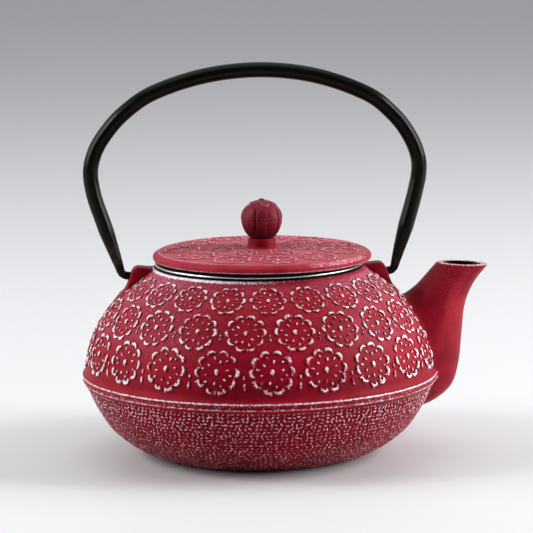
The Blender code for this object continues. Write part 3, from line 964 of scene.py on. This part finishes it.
def knob(burgundy):
    """A lobed bud with a groove between its lobes, a line round its middle and a calyx and tip on top."""
    tall = KNOB_TOP - KNOB_BOTTOM
    side = evenly(curve_through(KNOB_SIDE, 10) * (tall, KNOB_RADIUS), 0.22)[0][:, ::-1]
    r, z = side.T[..., None]
    out_r, out_z = -left_of(side).T[..., None]
    turn = turns(240)
    share = z / tall
    near_top = share > 0.8
    from_groove = turn - FIRST_GROOVE
    lobe = np.abs(np.cos(LOBES / 2 * from_groove))
    away = np.minimum(np.abs(np.mod(from_groove + pi / LOBES, 2 * pi / LOBES) - pi / LOBES), 1.0)
    groove = 0.6 * ramp(share, 0.1, 0.3) * (1 - ramp(share, 0.7, 0.86)) * bump(away, 0.0, 0.05)
    hollow = 0.28 * (1 - lobe) ** 2 * ramp(share, 0.0, 0.3) * (1 - ramp(share, 0.75, 0.9))
    belt = 0.14 * bump(share, 0.485, 0.014)
    leaf_edge = KNOB_RADIUS * (0.30 + 0.42 * np.abs(np.sin(LOBES / 2 * from_groove)) ** 1.3)
    leaf = ramp(leaf_edge - r, -0.25, 0.25) * (share > 0.6)
    leaf_rim = bump(leaf_edge - r, 0.35, 0.45) * (share > 0.6)
    tip = (0.75 * (1 - ramp(r, 0.6, 2.1)) + 0.2 * bump(r, 2.6, 0.5)) * near_top
    off = 0.34 * leaf + 0.14 * leaf_rim - groove - hollow - belt
    points = turned(r + out_r * off, turn, KNOB_BOTTOM + z + out_z * off + tip).reshape(-1, 3) + LID_AXIS
    worn = 0.75 * leaf_rim + 0.6 * bump(r, 2.2, 0.6) * near_top + 0.12 * lobe * ramp(share, 0.5, 0.8)
    # Painted shade in the grooves, along the belt and towards the foot, and darker at the tip.
    shade = 0.6 * groove + 2.2 * belt + 0.6 * (1 - ramp(share, 0.05, 0.52)) + 0.5 * bump(r, 0, 1.3)
    marks = {"wear": worn, "shade": np.clip(shade, 0, 0.9)}
    return solid("bud_knob", points, capped_faces(len(side), len(turn)), [burgundy], marks, radians(60))


# ---------------- the bail

FACETS = 8
FACET_TURN = 2 * pi / FACETS
FACET_EASE = 0.16  # the share of each facet that its rounded corners take
ARM_TAPER = (84.8, 104.0)  # the heights between which an arm grows from its hook to full size


def facet_ring(half_thick, half_wide, squareness):
    """A rounded octagon's points, or an oval's where squareness is 0."""
    ring = []
    for k in range(FACETS):
        for shift in (-1, 0, 1):
            angle = (k + 0.5 + shift * FACET_EASE) * FACET_TURN
            flat = cos(FACET_TURN / 2) / cos(angle - FACET_TURN * round(angle / FACET_TURN))
            bevel = 0.985 if shift == 0 else flat * 1.03
            reach = (1 + (bevel - 1) * squareness) * (1 + (1 / cos(FACET_TURN / 2) - 1) * squareness)
            ring.append((reach * half_thick * cos(angle), reach * half_wide * sin(angle)))
    return np.array(ring)


def bail(black):
    """One bar, faceted over the arch and down the arms, round at its hooks."""
    line = smooth(BAIL, 10, 1.6)
    rings, worn = [], []
    for (x, z), outward in zip(line, left_of(line)):
        grown = float(np.clip((z - ARM_TAPER[0]) / (ARM_TAPER[1] - ARM_TAPER[0]), 0, 1))
        half_thick = HOOK_RADIUS + (BAIL_HALF_THICKNESS - HOOK_RADIUS) * grown
        half_wide = HOOK_RADIUS + (BAIL_HALF_WIDTH - HOOK_RADIUS) * grown
        ring = facet_ring(half_thick, half_wide, 0.55 * ramp(grown, 0.02, 0.5))
        flat = (x, z) + ring[:, :1] * outward
        rings.append(np.column_stack([flat[:, 0], ring[:, 1], flat[:, 1]]))
        worn += [0.8 * bump(z, 91, 6) if x < 0 else 0.3 * bump(z, 90, 5)] * len(ring)
    return solid("bail_handle", *loft(rings), [black], {"wear": worn}, radians(50))


# ---------------- the basket

MESH_PITCH = 2.0
WALL_WIRE_RADIUS = 0.24
WALL_WEAVE = 0.2  # how far a wire of the wall swings to each side
FLOOR_WIRE_RADIUS = 0.17
FLOOR_WEAVE = 0.13


def tubes(paths, radius, closed):
    """Square wires along many paths of equally many points, as one set of points and faces."""
    paths = np.asarray(paths, float)
    number, count, _ = paths.shape
    run = np.roll(paths, -1, 1) - np.roll(paths, 1, 1) if closed else np.gradient(paths, axis=1)
    along = unit(run)
    helper = np.where(np.abs(along[..., 2:]) > 0.8, (1.0, 0.0, 0.0), (0.0, 0.0, 1.0))
    side = unit(np.cross(along, helper))
    up = np.cross(side, along)
    points = np.stack([paths + radius * (side * cos(a) + up * sin(a)) for a in turns(4)], 2)
    faces = grid_faces(count + 1, 4) % (count * 4) if closed else capped_faces(count, 4)
    return points.reshape(-1, 3), copied_faces(faces, number, count * 4)


def wires(name, material, parts):
    """One object of several sets of tubes."""
    starts = np.cumsum([0] + [len(points) for points, _ in parts])
    faces = np.vstack([faces + start for (_, faces), start in zip(parts, starts)])
    return make(name, np.vstack([points for points, _ in parts]), faces, [material], None, None)


def basket_wall(wire):
    """Plain-woven wire: upright wires that pass in and out of rings."""
    radius = BASKET_RADIUS - 0.26
    bottom, top = BASKET_BOTTOM + 2.4, RIM_BOTTOM - GAP
    uprights = 2 * int(pi * radius / MESH_PITCH)
    rows = int((top - bottom) / MESH_PITCH)
    levels = bottom + 0.4 + np.arange(2 * rows + 1) * (top - bottom - 0.8) / (2 * rows)
    swing = np.outer(np.resize([1, -1], uprights), np.resize([0, 1, 0, -1], len(levels)))
    standing = turned(radius + WALL_WEAVE * swing, turns(uprights)[:, None], levels)
    swing = np.outer(np.resize([1, -1], rows), np.resize([1, 0, -1, 0], 2 * uprights))
    rings = turned(radius - WALL_WEAVE * swing, turns(2 * uprights), levels[1::2, None])
    parts = [tubes(standing, WALL_WIRE_RADIUS, False), tubes(rings, WALL_WIRE_RADIUS, True)]
    return wires("basket_wall_weave", wire, parts)


def basket_floor(wire):
    """The woven disc in the base ring."""
    radius = BASKET_RADIUS - 0.3
    level = BASKET_BOTTOM + SLEEVE_THICKNESS + GAP + 0.25
    lines = int(radius / MESH_PITCH)
    parts = []
    for sense in (1, -1):
        for k in range(-lines, lines + 1):
            offset = k * MESH_PITCH
            cells = int(np.sqrt(max(radius**2 - offset**2, 0)) / (MESH_PITCH / 2))
            if cells < 2:
                continue
            steps = np.arange(-cells, cells + 1)
            swing = np.where(steps % 2 == 0, np.where((steps // 2 + k) % 2 == 0, 1, -1), 0)
            flat = [steps * MESH_PITCH / 2, np.full(len(steps), offset)][::sense]
            path = np.stack([*flat, level + sense * FLOOR_WEAVE * swing], -1)
            parts.append(tubes([path], FLOOR_WIRE_RADIUS, False))
    return wires("basket_floor_weave", wire, parts)


def basket_rim(metal):
    """A rolled rim over a sleeve that grips the mesh."""
    top = RIM_BOTTOM + RIM_THICKNESS
    inner, roll = RIM_INNER_RADIUS, 0.5
    sleeve_in = BASKET_RADIUS + GAP
    sleeve_out = sleeve_in + SLEEVE_THICKNESS
    foot = RIM_BOTTOM - SLEEVE_HEIGHT
    flange = [(inner + 0.35, top - 0.05), (inner + 1.0, top), (RIM_RADIUS - 3.0, top)]
    flange.append((RIM_RADIUS - 1.5, top - 0.28))
    bead = [(RIM_RADIUS - roll, RIM_BOTTOM + roll) + polar(roll, a) for a in np.linspace(1.9, -1.55, 14)]
    under = [(RIM_RADIUS - 1.6, RIM_BOTTOM + 0.5), (sleeve_out + 0.4, RIM_BOTTOM + 0.5)]
    sleeve = [(sleeve_out, RIM_BOTTOM - 0.1), (sleeve_out, foot + 0.2), (sleeve_out - 0.2, foot)]
    sleeve += [(sleeve_in, foot), (sleeve_in, RIM_BOTTOM), (inner, RIM_BOTTOM), (inner, top - 0.4)]
    points, faces = lathe([*flange, *bead, *under, *sleeve], 240, closed=True)
    return make("basket_rim_rolled", points, faces, [metal], None, radians(35))


# ---------------- build the object

red = worn_red("red_enamel_worn", DEEP_RED, LIGHT_RED, SILVER, 1.5)
bowl_red = worn_red("red_enamel_bowl", DEEP_RED, LIGHT_RED, ROSY_SILVER, 0.9)
lid_red = worn_red("red_enamel_lid", LID_SHEEN_DEEP_RED, LID_SHEEN_LIGHT_RED, LID_SILVER, 1.1)
black_inside = black_enamel()
polished = steel("polished_stainless", (0.80, 0.80, 0.79), 0.26, 0.36, (1, 1, 6))
woven = steel("stainless_wire", (0.62, 0.62, 0.61), 0.25, 0.4)
zinc = steel("zinc_plate", (0.58, 0.59, 0.60), 0.28, 0.42)

pot, covers = casting(red, black_inside)
shown = [
    (pot, "pot", "red_enamel", "pot_body"),
    (shoulder_relief(red, covers), "pot", "red_enamel"),
    (bowl_relief(bowl_red, covers[0]), "pot", "red_enamel"),
    (lid(lid_red, black_inside, red), "lid", "red_enamel", "lid"),
    (lid_relief(lid_red), "lid", "red_enamel"),
    (knob(knob_enamel()), "lid", "burgundy_enamel", "lid_knob"),
    (bail(black_lacquer()), "handle", "black_steel", "handle"),
    (basket_rim(polished), "basket", "stainless_steel", "infuser_rim"),
    (basket_wall(woven), "basket", "stainless_mesh", "infuser_wall"),
    (basket_floor(woven), "basket", "stainless_mesh", "infuser_base_mesh"),
]
for piece, body, slot, *replaced in shown:
    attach(piece, body)
    if replaced:
        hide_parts(*replaced)
for node, material in (("knob_screw", zinc), ("knob_washer", zinc), ("infuser_base_ring", polished)):
    for slot in frame["nodes"][node].material_slots:
        slot.material = material

# ---------------- stage, light and camera, in metres

AIM = Vector((0.0, 0.0, 0.06))
SOFTBOXES = (  # name, place, size, watts
    ("left_window", (-1.25, 0.0, 0.7), (0.9, 0.9), 14.5),
    ("left_lamp", (-1.07, -0.1, 0.95), (0.1, 0.1), 2.5),
    ("right_window", (1.25, 0.05, 0.65), (0.9, 0.9), 14.0),
    ("right_lamp", (1.07, -0.1, 0.97), (0.14, 0.14), 2.5),
    ("right_front", (1.4, -0.32, 0.48), (0.5, 0.7), 12.5),
    ("ceiling", (-0.1, 0.3, 1.7), (1.6, 1.2), 7.0),
    ("front_fill", (-0.2, -1.9, 1.1), (1.2, 0.8), 0.6),
)
CAMERA_DISTANCE = 1.415
CAMERA_HEIGHT = 0.3045
CAMERA_SIDE = radians(4.0)  # how far the camera stands round from straight in front of the handle's plane
CAMERA_AIM = radians(0.145)
CAMERA_PITCH = radians(8.76)
CAMERA_ROLL = radians(0.55)
CAMERA_LENS = 208.4


def stage():
    """A wide floor, a hair below the base. Its rings are in millimetres, as all mesh points are."""
    sides, below_base = 96, -0.02
    points, faces = lathe([(radius, below_base) for radius in (8000.0, 600.0, 2.0)], sides)
    middle = list(range(2 * sides, 3 * sides))
    make("floor", points, [*faces, middle], [pale_floor()], None, None)


def softbox(name, place, size, power):
    lamp = bpy.data.lights.new(name, "AREA")
    lamp.shape = "RECTANGLE"
    lamp.size, lamp.size_y = size
    lamp.energy = power
    obj = add_object(name, lamp)
    obj.location = place
    obj.rotation_euler = (AIM - Vector(place)).to_track_quat("-Z", "Y").to_euler()
    obj.visible_camera = False


def camera():
    lens = bpy.data.cameras.new("camera")
    lens.lens = CAMERA_LENS
    lens.sensor_width = 36.0
    lens.clip_end = 50.0
    obj = add_object("camera", lens)
    out = Vector((-sin(CAMERA_SIDE), -cos(CAMERA_SIDE), 0)) * CAMERA_DISTANCE
    yaw = Matrix.Rotation(-CAMERA_SIDE - CAMERA_AIM, 4, "Z")
    tilt = Matrix.Rotation(pi / 2 - CAMERA_PITCH, 4, "X")
    roll = Matrix.Rotation(-CAMERA_ROLL, 4, "Z")
    obj.matrix_world = Matrix.Translation(out + Vector((0, 0, CAMERA_HEIGHT))) @ yaw @ tilt @ roll
    bpy.context.scene.camera = obj


def world():
    """A pale room, brighter behind the pot than in front of it."""
    sky = bpy.data.worlds.new("studio")
    bpy.context.scene.world = sky
    shader = Shader(sky, "Background", "Generated")
    depth = shader.node("ShaderNodeSeparateXYZ", {0: shader.place}).outputs["Y"]
    strength = shader.between(depth, -0.6, 0.75, 0.06, 0.78, interpolation_type="SMOOTHSTEP")
    shader.set(Color=(0.94, 0.96, 1.0), Strength=strength)


stage()
world()
for box in SOFTBOXES:
    softbox(*box)
camera()
bpy.context.scene.view_settings.view_transform = "Standard"
